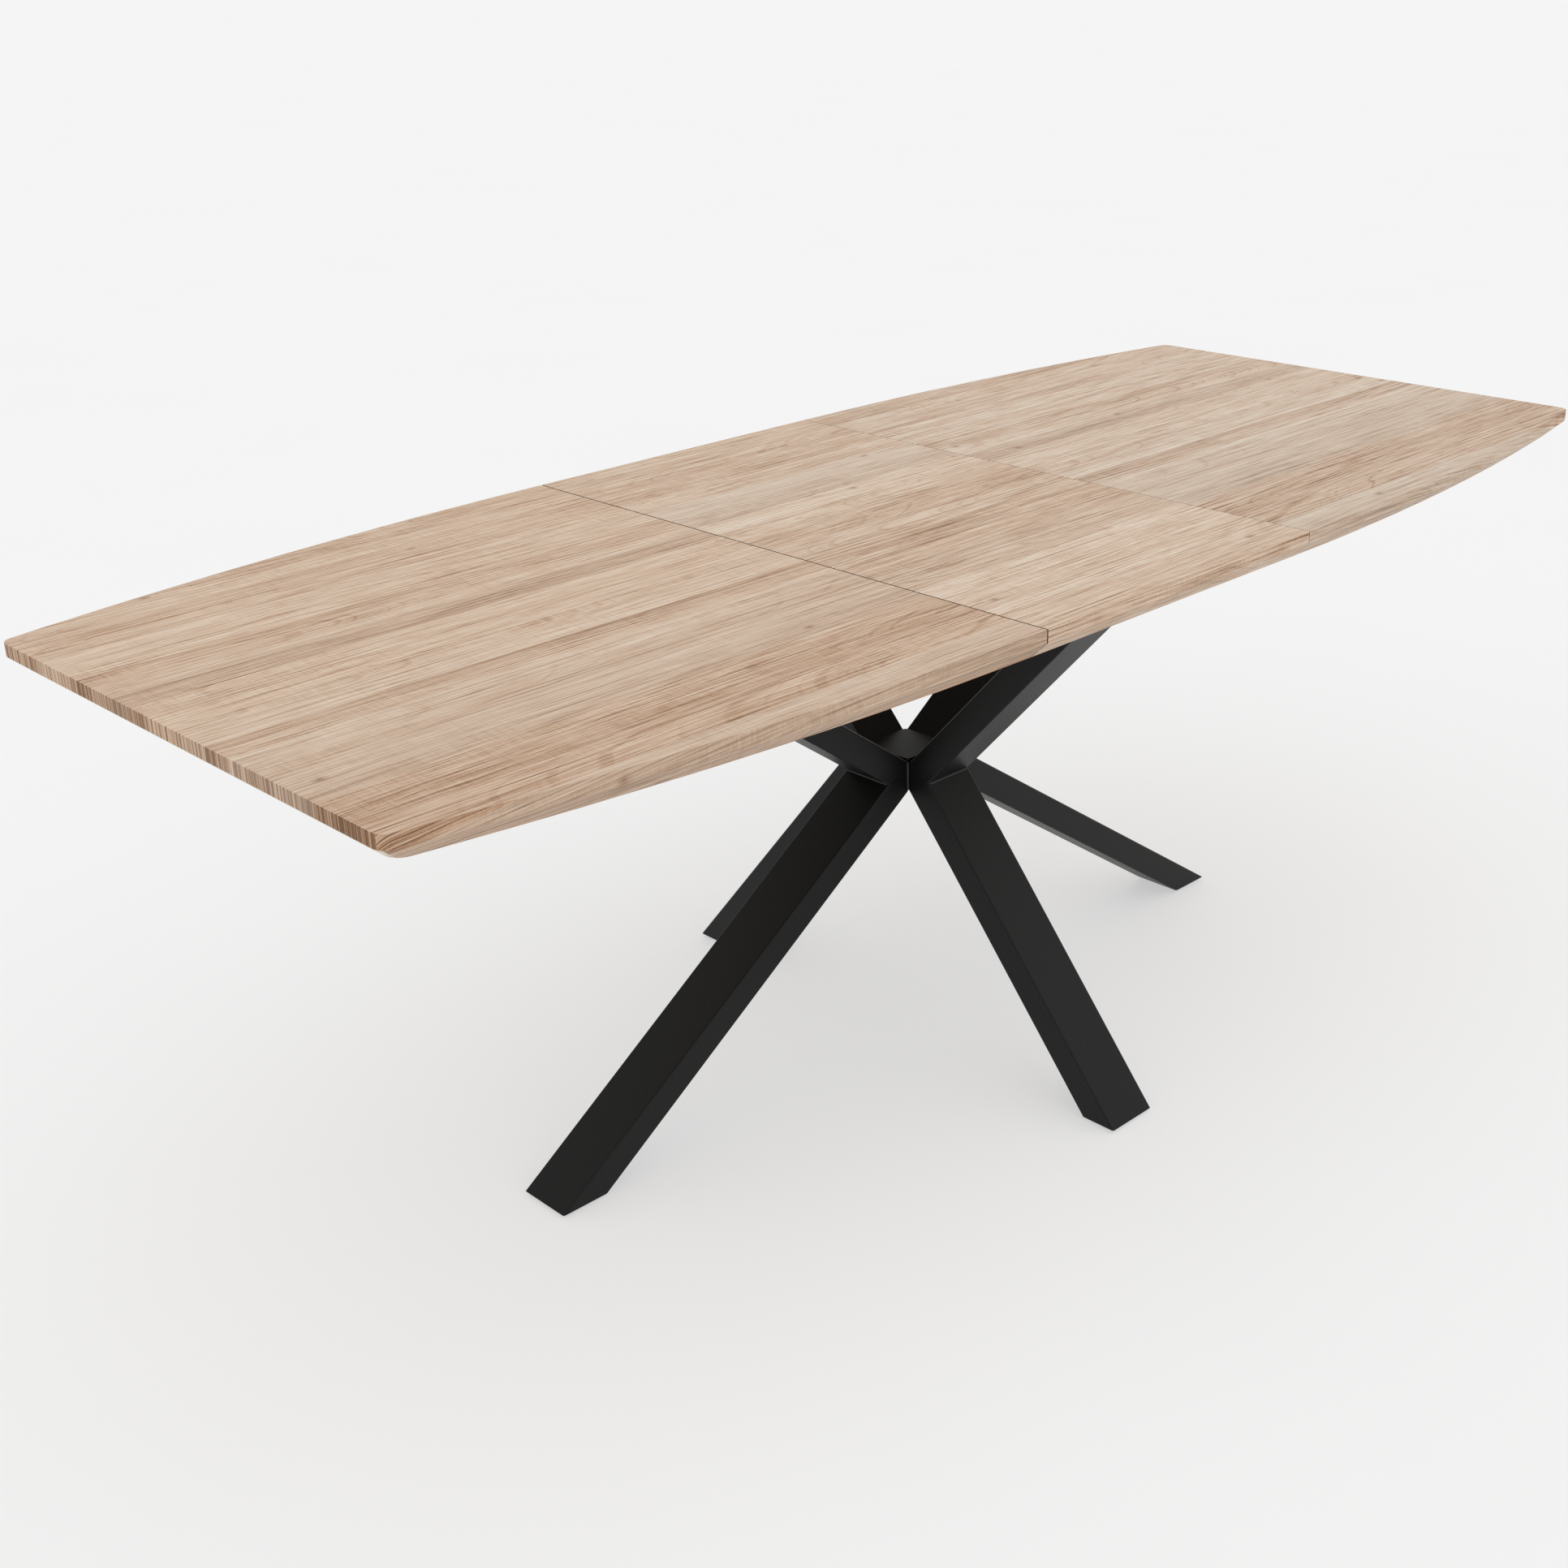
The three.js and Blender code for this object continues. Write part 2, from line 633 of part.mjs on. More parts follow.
piece("frame_rail_front", sideRail(-SIDE_Y), FRAME_STEEL);
piece("frame_rail_back", sideRail(SIDE_Y), FRAME_STEEL);
piece("cross_rail_left", crossRail(-CROSS_X), FRAME_STEEL);
piece("cross_rail_right", crossRail(CROSS_X), FRAME_STEEL);
piece("cross_rail_centre", crossRail(0), FRAME_STEEL);

// Four limbs round the hub. Each is drawn towards +X and turned to its side.
const limbs = [
  ["right", LIMB_X, 0],
  ["back", LIMB_Y, 1],
  ["left", LIMB_X, 2],
  ["front", LIMB_Y, 3],
];
for (const [side, limb, quarter] of limbs) {
  const turned90 = new THREE.Group();
  turned90.rotation.z = (quarter * Math.PI) / 2;
  table.add(turned90);
  piece(`leg_${side}`, leg(limb), BLACK_STEEL, turned90);
  piece(`arm_${side}`, arm(limb), BLACK_STEEL, turned90);
  piece(`arm_flange_${side}`, flange(limb), BLACK_STEEL, turned90);
  piece(`foot_insert_${side}`, footInsert(limb), BLACK_NYLON, turned90);
  piece(`glide_${side}`, glide(), BLACK_NYLON, turned90).position.x = glideReach(limb);
  for (const [index, y] of [-FLANGE.boltOffset, FLANGE.boltOffset].entries()) {
    const bolt = piece(`flange_bolt_${side}_${index + 1}`, flangeBolt(), ZINC, turned90);
    bolt.position.set(armEnd(limb).centre, y, 0);
  }
}

const hubTubeBottom = HUB.bottom + HUB.plate + GAP;
const hubTubeTop = HUB.top - HUB.plate - GAP;
const hubSection = hollow(HUB.size, HUB.size, 1, HUB.wall);
const hubTube = extruded(hubSection, hubTubeTop - hubTubeBottom, 3).translate(0, 0, hubTubeBottom);
piece("hub_tube", hubTube, BLACK_STEEL);
piece("hub_top_plate", hubPlate(HUB.top - HUB.plate), BLACK_STEEL);
piece("hub_bottom_plate", hubPlate(HUB.bottom), BLACK_STEEL);

export default table;
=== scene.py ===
"""Looks for the extendable dining table: oak decor top, black powder-coated crossed base, geared slides.

Metres, +Z up, +X along the table, origin on the floor under the centre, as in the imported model.
"""

import math
import random

import bmesh
import bpy
from mathutils import Matrix, Vector


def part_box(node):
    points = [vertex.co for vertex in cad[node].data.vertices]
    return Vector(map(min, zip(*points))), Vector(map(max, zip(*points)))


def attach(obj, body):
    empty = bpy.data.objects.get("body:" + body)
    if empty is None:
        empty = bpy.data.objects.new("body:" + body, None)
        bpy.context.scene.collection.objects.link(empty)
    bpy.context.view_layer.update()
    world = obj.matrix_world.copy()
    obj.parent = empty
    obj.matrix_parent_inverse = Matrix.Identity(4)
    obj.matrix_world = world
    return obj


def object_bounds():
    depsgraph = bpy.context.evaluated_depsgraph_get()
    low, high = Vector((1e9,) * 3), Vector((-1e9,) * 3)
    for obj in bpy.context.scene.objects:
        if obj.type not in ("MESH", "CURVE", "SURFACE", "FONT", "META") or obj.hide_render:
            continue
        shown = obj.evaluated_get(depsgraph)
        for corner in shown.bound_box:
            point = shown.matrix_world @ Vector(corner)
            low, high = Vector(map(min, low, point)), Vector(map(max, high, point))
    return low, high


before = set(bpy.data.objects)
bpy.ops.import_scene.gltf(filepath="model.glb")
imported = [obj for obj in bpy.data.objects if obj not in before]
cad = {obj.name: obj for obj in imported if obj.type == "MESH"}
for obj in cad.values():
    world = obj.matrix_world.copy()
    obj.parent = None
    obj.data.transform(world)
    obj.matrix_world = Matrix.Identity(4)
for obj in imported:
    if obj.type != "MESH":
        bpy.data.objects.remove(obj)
cad_low, cad_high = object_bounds()

scene = bpy.context.scene
TOP_Z = cad_high.z
SIDES = ("left", "right", "front", "back")


# ---- camera, light and floor --------------------------------------------------------------------

HEADING = math.radians(43.657)  # from +Y towards +X
DEPRESSION = math.radians(23.953)
ROLL = math.radians(-1.364)
EYE = Vector((-1.8868, -1.8005, 1.4926))
LENS = 47.238
SHIFT = (-0.0222, 0.0148)
FAR_CLIP = 500


def camera():
    """The camera, at the viewing angle of the product shot."""
    data = bpy.data.cameras.new("camera")
    data.sensor_width = 36
    data.lens = LENS
    data.shift_x, data.shift_y = SHIFT
    data.clip_end = FAR_CLIP
    made = bpy.data.objects.new("camera", data)
    scene.collection.objects.link(made)
    flat = math.cos(DEPRESSION)
    forward = Vector((math.sin(HEADING) * flat, math.cos(HEADING) * flat, -math.sin(DEPRESSION)))
    right = Vector((math.cos(HEADING), -math.sin(HEADING), 0))
    up = right.cross(forward)
    turn = Matrix((right, up, -forward)).transposed() @ Matrix.Rotation(ROLL, 3, "Z")
    made.matrix_world = Matrix.Translation(EYE) @ turn.to_4x4()
    scene.camera = made


class Nodes:
    """Adds nodes to one shader tree and joins them."""

    def __init__(self, tree):
        self.tree = tree
        tree.nodes.clear()

    def put(self, socket, value):
        if isinstance(value, bpy.types.NodeSocket):
            self.tree.links.new(value, socket)
        else:
            socket.default_value = value

    def add(self, kind, inputs=None, **settings):
        node = self.tree.nodes.new("ShaderNode" + kind)
        for name, value in settings.items():
            setattr(node, name, value)
        for name, value in (inputs or {}).items():
            self.put(node.inputs[name], value)
        return node

    def math(self, operation, *values):
        return self.add("Math", dict(enumerate(values)), operation=operation).outputs[0]

    def plus(self, a, b):
        return self.math("ADD", a, b)

    def minus(self, a, b):
        return self.math("SUBTRACT", a, b)

    def times(self, a, b):
        return self.math("MULTIPLY", a, b)

    def centred(self, value, gain):
        """A 0 to 1 value moved to lie about zero, then scaled."""
        return self.math("MULTIPLY_ADD", value, gain, -gain / 2)

    def vector(self, x=0.0, y=0.0, z=0.0):
        return self.add("CombineXYZ", {"X": x, "Y": y, "Z": z}).outputs[0]

    def stretched(self, u, v, along, across, seed=0.0):
        """Texture coordinates scaled along and across the grain."""
        return self.vector(self.times(u, along), self.times(v, across), seed)

    def noise(self, vector, scale=1.0, detail=2.0, roughness=0.5, distortion=0.0):
        inputs = {"Vector": vector, "Scale": scale, "Detail": detail, "Roughness": roughness}
        inputs["Distortion"] = distortion
        return self.add("TexNoise", inputs).outputs[0]

    def line_noise(self, w):
        inputs = {"W": w, "Scale": 1.0, "Detail": 1.0}
        return self.add("TexNoise", inputs, noise_dimensions="1D").outputs[0]

    def chance(self, w):
        """One random value for each whole number."""
        return self.add("TexWhiteNoise", {"W": w}, noise_dimensions="1D").outputs["Value"]

    def ramp(self, value, stops):
        """A colour ramp from (position, colour) stops. A colour is a grey or an (r, g, b)."""
        node = self.add("ValToRGB", {"Fac": value})
        band = node.color_ramp
        while len(band.elements) < len(stops):
            band.elements.new(1.0)
        for element, (position, colour) in zip(band.elements, stops):
            element.position = position
            shade = colour if isinstance(colour, tuple) else (colour,) * 3
            element.color = (*shade, 1)
        return node.outputs[0]

    def mix(self, factor, a, b, blend="MIX"):
        node = self.add("Mix", data_type="RGBA", blend_type=blend)
        self.put(node.inputs[0], factor)
        self.put(node.inputs[6], a)
        self.put(node.inputs[7], b)
        return node.outputs[2]

    def bump(self, height, distance, strength=1.0):
        inputs = {"Height": height, "Distance": distance, "Strength": strength}
        return self.add("Bump", inputs).outputs[0]

    def shade(self, **inputs):
        """The material's Principled shader, joined to its output."""
        named = {name.replace("_", " "): value for name, value in inputs.items()}
        node = self.add("BsdfPrincipled", named)
        out = self.add("OutputMaterial")
        self.tree.links.new(node.outputs[0], out.inputs["Surface"])


def srgb(r, g, b):
    """A colour given as 0 to 255 display values, as linear light."""

    def linear(value):
        share = value / 255
        return share / 12.92 if share <= 0.04045 else ((share + 0.055) / 1.055) ** 2.4

    return (linear(r), linear(g), linear(b))


def material(name):
    made = bpy.data.materials.new(name)
    made.use_nodes = True
    return made, Nodes(made.node_tree)


LIGHT = 1.17


def surroundings():
    """Soft studio light from all round, a little stronger from above and weaker from the back."""
    world = bpy.data.worlds.new("studio")
    world.use_nodes = True
    scene.world = world
    nodes = Nodes(world.node_tree)
    direction = nodes.add("TexCoord").outputs["Generated"]
    towards = nodes.add("SeparateXYZ", {"Vector": direction})
    height = nodes.ramp(towards.outputs["Z"], [(0.0, 0.775), (0.04, 0.79), (0.25, 0.93), (1.0, 1.0)])
    back = nodes.ramp(towards.outputs["Y"], [(0.0, 1.0), (0.2, 0.95), (0.9, 0.55)])
    light = nodes.add("Background", {"Color": nodes.times(height, back), "Strength": LIGHT})
    out = nodes.add("OutputWorld")
    nodes.tree.links.new(light.outputs[0], out.inputs["Surface"])
    scene.view_settings.view_transform = "Standard"


FLOOR_REACH = 200
FLOOR_LEVEL = 0.9
FLOOR_GLOW = 0.55  # share of the floor's brightness that no shadow takes away


def floor():
    """An even pale floor. Part of its brightness is its own, which keeps the shadows light."""
    mesh = bpy.data.meshes.new("floor")
    square = ((-1, -1), (1, -1), (1, 1), (-1, 1))
    corners = [(x * FLOOR_REACH, y * FLOOR_REACH, 0) for x, y in square]
    mesh.from_pydata(corners, [], [(0, 1, 2, 3)])
    made = bpy.data.objects.new("floor", mesh)
    scene.collection.objects.link(made)
    paint, nodes = material("pale_floor")
    place = nodes.add("TexCoord").outputs["Object"]
    cloud = nodes.noise(place, 1.3, 4, 0.6)
    level = FLOOR_LEVEL * (1 - FLOOR_GLOW)
    colour = nodes.ramp(cloud, [(0.3, level * 0.99), (0.7, level * 1.01)])
    glow = (FLOOR_LEVEL, FLOOR_LEVEL, FLOOR_LEVEL, 1)
    nodes.shade(
        Base_Color=colour,
        Roughness=0.9,
        Specular_IOR_Level=0.0,
        Emission_Color=glow,
        Emission_Strength=FLOOR_GLOW,
    )
    mesh.materials.append(paint)


# ---- oak ----------------------------------------------------------------------------------------

STAVE = 0.066  # mean width of the printed staves
EDGE_BAND = 0.016  # upright part of the edge, above the bevel
ARCH_RUN = 0.8  # length of one run of nested arches
SEAM_REACH = 0.26  # the seams are nearer the centre than this
SIDE_ON = 0.35  # a face whose normal leans further than this is an edge, not the top
UPRIGHT = 0.93  # and further than this, the upright part of one
KNOT_CELL = (3.1, 6.5)  # knot cells in a metre, along and across
KNOT_SHARE = 0.38  # share of the cells that hold a knot
KNOT_STRETCH = 1.5  # how much longer a knot is than wide


def oak(name, seed, shift, tint, painted_edge_shade):
    """Light oak decor: lengthwise staves with their own tone, growth figure, pores, saw marks and knots.

    The print runs over the long edges, and the ends show its lines as upright streaks. The last argument
    is painted shade: how much darker the long edges are drawn than the top.
    """
    made, n = material(name)
    source = n.add("TexCoord")
    place = n.add("SeparateXYZ", {"Vector": source.outputs["Object"]})
    facing = n.add("SeparateXYZ", {"Vector": source.outputs["Normal"]})
    x, y, z = place.outputs
    depth = n.minus(TOP_Z, z)
    facing_y = n.math("ABSOLUTE", facing.outputs["Y"])
    facing_x = n.math("ABSOLUTE", facing.outputs["X"])
    along_edge = n.math("GREATER_THAN", facing_y, SIDE_ON)
    at_end = n.times(n.math("GREATER_THAN", facing_x, SIDE_ON), n.minus(1.0, along_edge))
    outward = n.math("SIGN", y)
    folded = n.plus(depth, n.math("MAXIMUM", n.minus(depth, EDGE_BAND), 0.0))
    v = n.math("MULTIPLY_ADD", n.times(outward, folded), along_edge, y)

    # Staves of uneven width.
    warped = n.math("MULTIPLY_ADD", n.math("SINE", n.math("MULTIPLY_ADD", v, 31.0, seed)), 0.014, v)
    warped = n.math("MULTIPLY_ADD", n.math("SINE", n.math("MULTIPLY_ADD", v, 83.0, seed)), 0.004, warped)
    counted = n.math("DIVIDE", n.plus(warped, shift), STAVE)
    stave = n.math("FLOOR", counted)
    inside = n.math("FRACT", counted)
    first = n.chance(n.plus(stave, seed))
    second = n.chance(n.plus(stave, seed + 31.7))
    third = n.chance(n.plus(stave, seed + 67.1))
    u = n.math("MULTIPLY_ADD", second, 7.0, x)

    # Growth rings cut lengthwise: nested arches where the heart lies in the stave, else plain lines.
    wave = n.noise(n.stretched(u, v, 3.0, 10.0, seed), 1.0, 2.0)
    ripple = n.noise(n.stretched(u, v, 16.0, 45.0, seed + 1), 1.0, 2.0)
    heart = n.math("MULTIPLY_ADD", first, 1.2, -0.1)
    off_heart = n.math("MULTIPLY_ADD", n.minus(inside, heart), STAVE, n.centred(wave, 0.02))
    off_heart = n.plus(off_heart, n.centred(ripple, 0.009))
    bend = n.line_noise(n.math("MULTIPLY_ADD", u, 2.3, n.times(stave, 5.3)))
    direction = n.math("MULTIPLY_ADD", n.math("GREATER_THAN", third, 0.5), 2.0, -1.0)
    run = n.math("MULTIPLY_ADD", bend, 0.3, n.times(u, direction))
    cycle = n.math("FRACT", n.math("DIVIDE", run, ARCH_RUN))
    rise = n.math("MULTIPLY_ADD", cycle, 0.1 * ARCH_RUN, 0.002)
    open_ends = n.ramp(cycle, [(0.0, 0.0), (0.1, 1.0), (0.85, 1.0), (1.0, 0.0)])
    ring = n.math("SQRT", n.plus(n.times(off_heart, off_heart), n.times(rise, rise)))
    rings = n.line_noise(n.math("MULTIPLY_ADD", ring, 430.0, n.times(stave, 9.1)))
    dark_rings = n.ramp(rings, [(0.33, 1.0), (0.43, 0.0), (0.64, 0.0), (0.75, 0.3)])
    flank = n.math("MULTIPLY_ADD", n.math("DIVIDE", rise, ring), -0.7, 1.0)
    near_heart = n.ramp(n.math("ABSOLUTE", off_heart), [(0.0, 1.0), (0.012, 0.85), (0.03, 0.55)])
    patch = n.noise(n.stretched(u, v, 2.0, 12.0, seed + 3), 1.0, 2.0)
    figure = n.times(n.times(dark_rings, near_heart), n.ramp(patch, [(0.38, 0.2), (0.6, 1.0)]))
    figure = n.times(n.times(figure, flank), open_ends)

    # Straight grain at three widths, thin dark lines, and short dark pores.
    broad = n.noise(n.stretched(u, v, 0.8, 34.0, seed), 1.0, 2.0)
    middling = n.noise(n.stretched(u, v, 3.0, 190.0, seed + 5), 1.0, 3.0, 0.65)
    fine = n.noise(n.stretched(u, v, 10.0, 330.0, seed + 9), 1.0, 2.0, 0.7)
    wavy = n.math("MULTIPLY_ADD", wave, 0.012, v)
    lines = n.noise(n.stretched(u, wavy, 2.6, 380.0, seed + 17), 1.0, 2.0, 0.6)
    lines = n.ramp(lines, [(0.34, 1.0), (0.48, 0.0)])
    pores = n.noise(n.stretched(u, v, 34.0, 760.0, seed + 13), 1.0, 1.0)
    pores = n.ramp(pores, [(0.3, 1.0), (0.42, 0.0)])

    # Faint marks across the grain, as a saw leaves.
    sawn = n.noise(n.stretched(x, v, 300.0, 26.0, seed), 1.0, 2.0, 0.6)
    sawn_patch = n.noise(n.stretched(x, v, 5.0, 9.0, seed + 21))
    sawn_patch = n.ramp(sawn_patch, [(0.4, 0.2), (0.6, 1.0)])
    speckle = n.noise(source.outputs["Object"], 520.0, 1.0)

    # One side of a stave is darker, and the tone fades across it.
    side = n.math("MULTIPLY_ADD", n.math("GREATER_THAN", second, 0.4), 2.0, -1.0)
    fade = n.times(n.times(n.minus(inside, 0.5), side), n.math("MULTIPLY_ADD", third, 0.2, 0.03))

    tone = n.centred(first, 0.2)
    tone = n.plus(tone, n.centred(broad, 0.22))
    tone = n.plus(tone, n.centred(middling, 0.34))
    tone = n.plus(tone, n.centred(fine, 1.25))
    tone = n.minus(tone, n.times(lines, 0.4))
    tone = n.plus(tone, n.times(n.centred(sawn, 0.42), sawn_patch))
    tone = n.plus(tone, n.centred(speckle, 0.2))
    tone = n.minus(tone, n.times(figure, 0.5))
    tone = n.minus(tone, n.times(pores, 0.14))
    tone = n.plus(tone, fade)
    contrast = n.math("MULTIPLY_ADD", at_end, 0.5, 1.0)
    tone = n.math("MULTIPLY_ADD", tone, contrast, 0.67)
    # Painted shade: the long edges and the ends are drawn darker than the top, the upright part of an end
    # more than its bevel.
    upright = n.math("GREATER_THAN", n.math("MAXIMUM", facing_x, facing_y), UPRIGHT)
    painted_end_shade = n.math("MULTIPLY_ADD", upright, 0.17, 0.1)
    tone = n.minus(tone, n.plus(n.times(along_edge, painted_edge_shade), n.times(at_end, painted_end_shade)))
    colour = n.ramp(
        tone,
        [
            (0.0, srgb(120, 88, 62)),
            (0.25, srgb(168, 133, 104)),
            (0.5, srgb(200, 171, 146)),
            (0.75, srgb(217, 197, 176)),
            (1.0, srgb(230, 216, 199)),
        ],
    )
    grey = n.times(n.math("GREATER_THAN", third, 0.5), 0.35)
    colour = n.mix(n.times(grey, second), colour, (*srgb(208, 196, 181), 1))

    # Small dark knots, few and far between.
    cells_along, cells_across = KNOT_CELL
    cells = n.stretched(u, v, cells_along, cells_across, seed)
    inputs = {"Vector": cells, "Scale": 1.0, "Randomness": 0.8}
    voronoi = n.add("TexVoronoi", inputs, voronoi_dimensions="2D")
    ends = {0: cells, 1: voronoi.outputs["Position"]}
    offset = n.add("VectorMath", ends, operation="SUBTRACT").outputs[0]
    apart = n.add("SeparateXYZ", {"Vector": offset})
    knot_x = n.math("DIVIDE", apart.outputs["X"], cells_along * KNOT_STRETCH)
    knot_y = n.math("DIVIDE", apart.outputs["Y"], cells_across)
    knot_far = n.math("SQRT", n.plus(n.times(knot_x, knot_x), n.times(knot_y, knot_y)))
    lot = n.add("SeparateColor", {"Color": voronoi.outputs["Color"]}).outputs[0]
    chosen = n.math("GREATER_THAN", lot, 1 - KNOT_SHARE)
    knot = n.times(n.ramp(knot_far, [(0.0, 1.0), (0.0022, 0.75), (0.0055, 0.0)]), chosen)
    colour = n.mix(n.times(knot, 0.75), colour, (*srgb(128, 96, 72), 1))

    colour = n.mix(1.0, colour, (*tint, 1), "MULTIPLY")

    # Painted shade on the faces inside a seam, and a painted reflection of the pale floor on the bevel
    # under a straight end, which is drawn pale and plain.
    near_middle = n.math("LESS_THAN", n.math("ABSOLUTE", x), SEAM_REACH)
    painted_seam_shade = n.times(n.math("GREATER_THAN", facing_x, 0.9), near_middle)
    colour = n.mix(painted_seam_shade, colour, (*srgb(64, 44, 30), 1))
    # Painted reflection: the downward bevel at an end is drawn pale, as the floor would show in it at a
    # grazing angle.
    undercut = n.math("LESS_THAN", facing.outputs["Z"], -0.3)
    pale = n.times(n.times(at_end, undercut), 0.9)
    colour = n.mix(pale, colour, (*srgb(226, 217, 201), 1))

    rough = n.math("MULTIPLY_ADD", fine, -0.12, 0.66)
    height = n.plus(n.times(fine, 0.6), n.times(n.minus(1.0, pores), 0.5))
    height = n.minus(height, n.times(figure, 0.35))
    relief = n.bump(height, 0.00018, 0.7)
    n.shade(Base_Color=colour, Roughness=rough, Specular_IOR_Level=0.22, Normal=relief)
    return made


# ---- metals and plastics ------------------------------------------------------------------------


def powder_coat(name, dark, light, gloss, across=None):
    """Satin black powder coat: fine orange peel, slight cloudiness and a few paler dust specks.

    across is the axis that a tube's side faces look along: its upper rounded corners get a painted
    highlight, drawn a little paler.
    """
    made, n = material(name)
    place = n.add("TexCoord").outputs["Object"]
    cloud = n.noise(place, 7.0, 3.0, 0.6)
    peel = n.noise(place, 900.0, 2.0, 0.5)
    grit = n.noise(place, 2600.0, 1.0)
    colour = n.mix(cloud, (*dark, 1), (*light, 1))
    speck = n.ramp(n.noise(place, 420.0, 0.0), [(0.8, 0.0), (0.86, 0.25)])
    colour = n.mix(speck, colour, (*srgb(70, 70, 68), 1))
    if across:
        # Painted highlight on the upper rounded corners.
        facing = n.add("SeparateXYZ", {"Vector": n.add("TexCoord").outputs["Normal"]})
        sideways = n.math("ABSOLUTE", facing.outputs[across])
        corner = n.ramp(sideways, [(0.15, 0.0), (0.4, 0.8), (0.85, 0.8), (0.98, 0.0)])
        corner = n.times(corner, n.math("GREATER_THAN", facing.outputs["Z"], 0.3))
        colour = n.mix(corner, colour, (*srgb(84, 84, 82), 1))
    rough = n.math("MULTIPLY_ADD", cloud, 0.08, gloss)
    relief = n.bump(n.plus(peel, n.times(grit, 0.3)), 0.00004, 0.6)
    n.shade(Base_Color=colour, Roughness=rough, Specular_IOR_Level=0.22, Normal=relief)
    return made


def brushed(name, colour_a, colour_b, roughness, across):
    """Metal with drawing lines along X. across is how many lines there are in a metre."""
    made, n = material(name)
    place = n.add("SeparateXYZ", {"Vector": n.add("TexCoord").outputs["Object"]})
    x, y, z = place.outputs
    girth = n.plus(y, z)
    lines = n.noise(n.stretched(x, girth, 6.0, across), 1.0, 2.0, 0.6)
    blot = n.noise(n.vector(x, y, z), 45.0, 3.0, 0.6)
    colour = n.mix(n.math("MULTIPLY_ADD", lines, 0.6, n.times(blot, 0.4)), (*colour_a, 1), (*colour_b, 1))
    rough = n.math("MULTIPLY_ADD", lines, 0.15, roughness)
    n.shade(
        Base_Color=colour,
        Metallic=1.0,
        Roughness=rough,
        Normal=n.bump(lines, 0.00002, 0.5),
    )
    return made


def plated(name):
    """Zinc plating: a dull spangle with a faint yellow and blue cast."""
    made, n = material(name)
    place = n.add("TexCoord").outputs["Object"]
    spangle = n.add("TexVoronoi", {"Vector": place, "Scale": 700.0}).outputs["Distance"]
    cast = n.noise(place, 60.0, 2.0)
    colour = n.mix(cast, (*srgb(176, 176, 168), 1), (*srgb(194, 198, 204), 1))
    rough = n.math("MULTIPLY_ADD", spangle, 0.2, 0.3)
    n.shade(Base_Color=colour, Metallic=1.0, Roughness=rough, Normal=n.bump(spangle, 0.00002, 0.3))
    return made


def moulded(name, colour_a, colour_b):
    """Moulded plastic with a fine spark-eroded texture."""
    made, n = material(name)
    place = n.add("TexCoord").outputs["Object"]
    grain = n.noise(place, 1400.0, 3.0, 0.6)
    flow = n.noise(place, 30.0, 2.0, 0.5, 1.5)
    colour = n.mix(flow, (*colour_a, 1), (*colour_b, 1))
    rough = n.math("MULTIPLY_ADD", grain, 0.2, 0.45)
    n.shade(Base_Color=colour, Roughness=rough, Specular_IOR_Level=0.4, Normal=n.bump(grain, 0.00003, 0.5))
    return made


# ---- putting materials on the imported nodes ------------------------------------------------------


JOIN_WITHIN = 0.000004
FLAT_WITHIN = math.radians(0.5)
SHARP_EDGE = math.radians(35)
SOFT_EDGE = 0.0004  # width of the rounding on a sharp edge
CREASE = math.radians(28)


def dress(node, paint):
    """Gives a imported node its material, joins its facets, and softens its sharp edges."""
    part = cad[node]
    part.data.materials.clear()
    part.data.materials.append(paint)
    weld = part.modifiers.new("join_facets", "WELD")
    weld.merge_threshold = JOIN_WITHIN
    flat = part.modifiers.new("flat_faces", "DECIMATE")
    flat.decimate_type = "DISSOLVE"
    flat.angle_limit = FLAT_WITHIN
    soften = part.modifiers.new("soft_edges", "BEVEL")
    soften.limit_method = "ANGLE"
    soften.angle_limit = SHARP_EDGE
    soften.width = SOFT_EDGE
    soften.segments = 2
    soften.use_clamp_overlap = True
    split = part.modifiers.new("keep_creases", "EDGE_SPLIT")
    split.split_angle = CREASE
    part.data.shade_smooth()
    even = part.modifiers.new("even_shading", "WEIGHTED_NORMAL")
    even.keep_sharp = True


